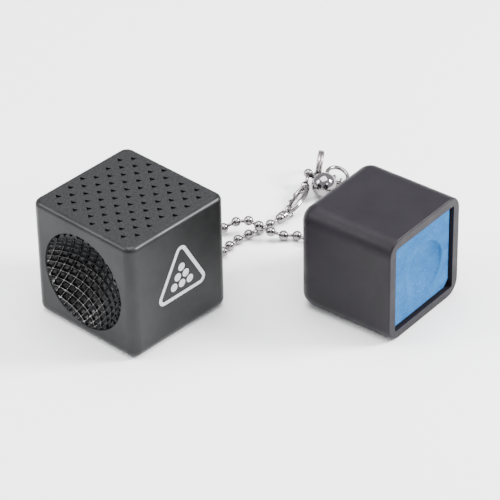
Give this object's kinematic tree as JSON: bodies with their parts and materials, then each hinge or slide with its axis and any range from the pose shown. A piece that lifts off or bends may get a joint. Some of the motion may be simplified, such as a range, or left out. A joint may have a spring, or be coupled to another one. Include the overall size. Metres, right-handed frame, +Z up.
{
  "type": "cue tip shaper and chalk holder set",
  "caption": "Pocket billiards set: a metal cube with a toothed shaping bowl and a pricked scuffer face, joined by a ball chain to a chalk holder with a blue chalk cube.",
  "frame": {"origin": "centre of the shaper cube's base, on the surface that the set lies on", "axes": "+Z up; +X towards the shaper cube's eye, -X towards its bowl; the chalk face looks towards -Y"},
  "size_m": [0.0885, 0.0696, 0.0302],
  "materials": {
    "anodised_metal": "satin gunmetal anodising",
    "holder_plastic": "satin soft-touch",
    "chalk": "dry powdery chalk",
    "label": "matte paper",
    "nickel": "nickel plate",
    "chrome": "bright chrome plate",
    "steel": "drawn steel",
    "silver_mark": "silver printed mark"
  },
  "bodies": {
    "shaper": {"shaper_block": "anodised_metal", "shaper_eye": "nickel", "shaper_washer": "nickel", "ball_chain": "nickel", "coupling_a": "nickel", "coupling_b": "nickel", "clasp_body": "chrome", "clasp_pin": "steel", "clasp_spring": "steel", "swivel_head": "chrome", "swivel_ball": "chrome"},
    "holder": {"holder_shell": "holder_plastic", "holder_eye": "nickel", "holder_washer": "nickel", "holder_disc": "steel"},
    "chalk": {"chalk": "chalk", "chalk_label": "label"},
    "clasp_gate": {"clasp_gate": "chrome"},
    "split_ring": {"split_ring": "steel"},
    "jump_ring": {"jump_ring": "nickel"}
  },
  "joints": [
    {"name": "holder_turn", "type": "hinge", "parent": "shaper", "child": "holder", "pos_m": [0.03846, -0.02266, 0.0136], "axis": [0, 0, 1], "range_deg": [-20, 20]},
    {"name": "chalk_slide", "type": "slide", "parent": "holder", "child": "chalk", "axis": [0.0828, -0.9966, 0], "range_m": [0, 0.016]},
    {"name": "gate_hinge", "type": "hinge", "parent": "shaper", "child": "clasp_gate", "pos_m": [0.05659, 0.00091, 0.00208], "axis": [-0.2587, 0.4094, 0.8749], "range_deg": [0, 20], "stiffness_Nm_per_rad": 0.0004},
    {"name": "split_ring_swing", "type": "hinge", "parent": "shaper", "child": "split_ring", "pos_m": [0.0657, 0.00135, 0.0031], "axis": [0, 0, 1], "range_deg": [-28, 45]},
    {"name": "jump_ring_turn", "type": "hinge", "parent": "shaper", "child": "jump_ring", "pos_m": [0.07015, -0.00085, 0.0021], "axis": [0.05, -0.3379, 0.9398], "continuous": true}
  ]
}
